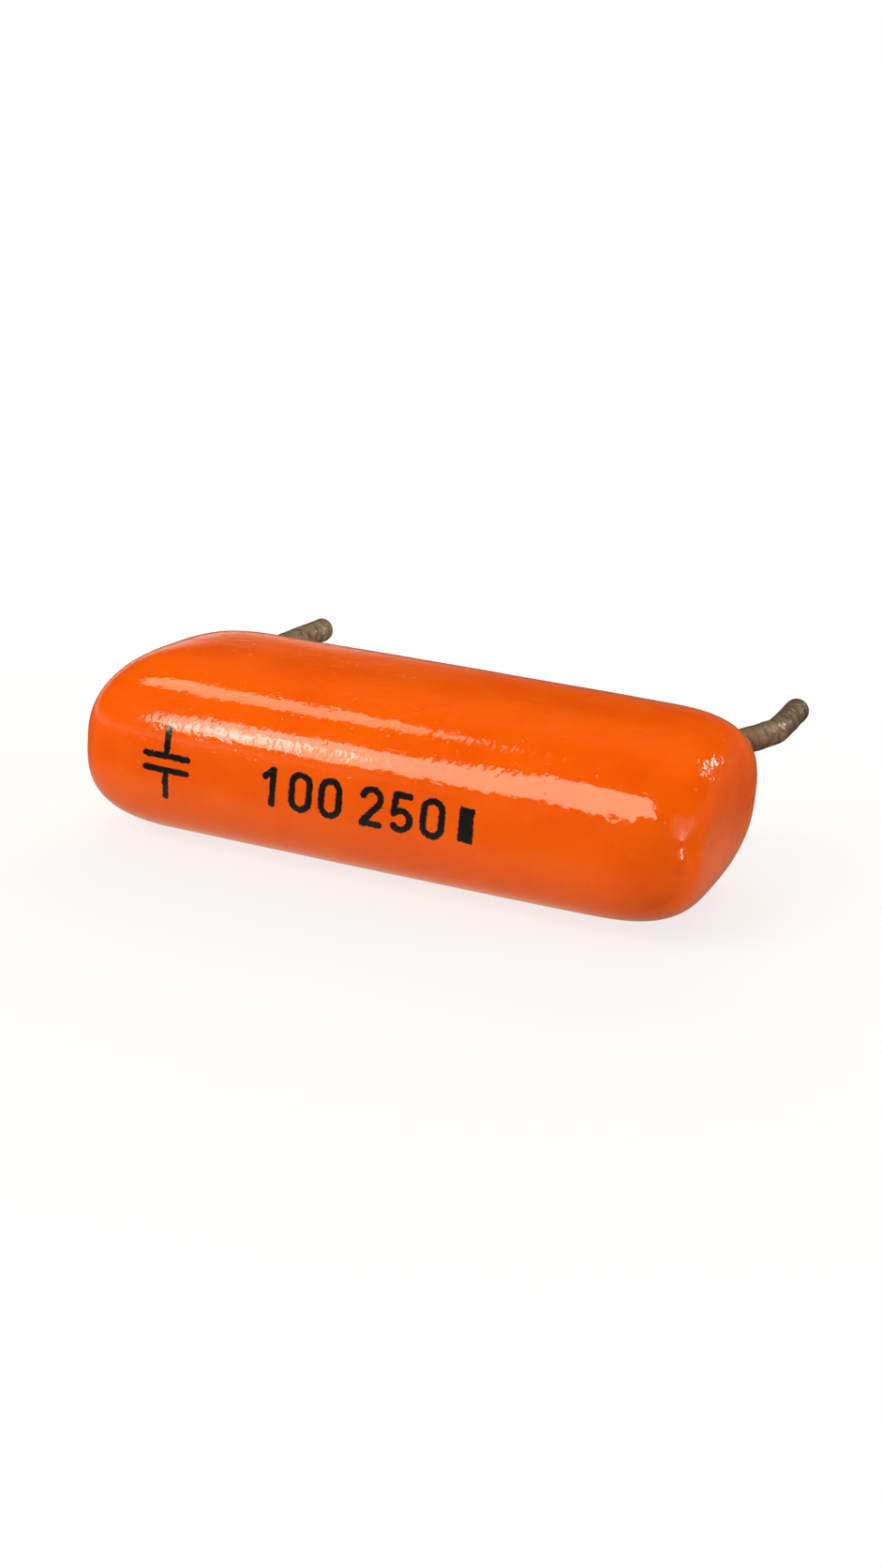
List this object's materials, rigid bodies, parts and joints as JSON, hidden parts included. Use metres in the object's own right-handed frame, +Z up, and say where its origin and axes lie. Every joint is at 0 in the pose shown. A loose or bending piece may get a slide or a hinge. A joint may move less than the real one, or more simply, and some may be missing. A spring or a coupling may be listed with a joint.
{
  "type": "polyester film capacitor",
  "caption": "Flat dipped film capacitor with rounded ends and two parallel wire leads out of one long edge, lying on its broad side.",
  "frame": {"origin": "the middle of the flat on the broad underside that the body lies on", "axes": "+X along the body, +Y the way both leads leave the lead edge, +Z up through the flat body"},
  "size_m": [0.0164, 0.0147, 0.0047],
  "materials": {
    "lacquer": "gloss lacquer with a fine orange-peel surface",
    "metallised_film": "metallised film, edges matt",
    "sprayed_metal": "rough sprayed zinc",
    "solder": "smooth dull solder",
    "tinned_wire": "dull tarnished tin with bare copper patches"
  },
  "bodies": {
    "root": {"coating": "lacquer", "film_winding": "metallised_film", "end_contact_left": "sprayed_metal", "end_contact_right": "sprayed_metal", "solder_joint_left": "solder", "solder_joint_right": "solder", "lead_left": "tinned_wire", "lead_right": "tinned_wire"}
  },
  "joints": []
}
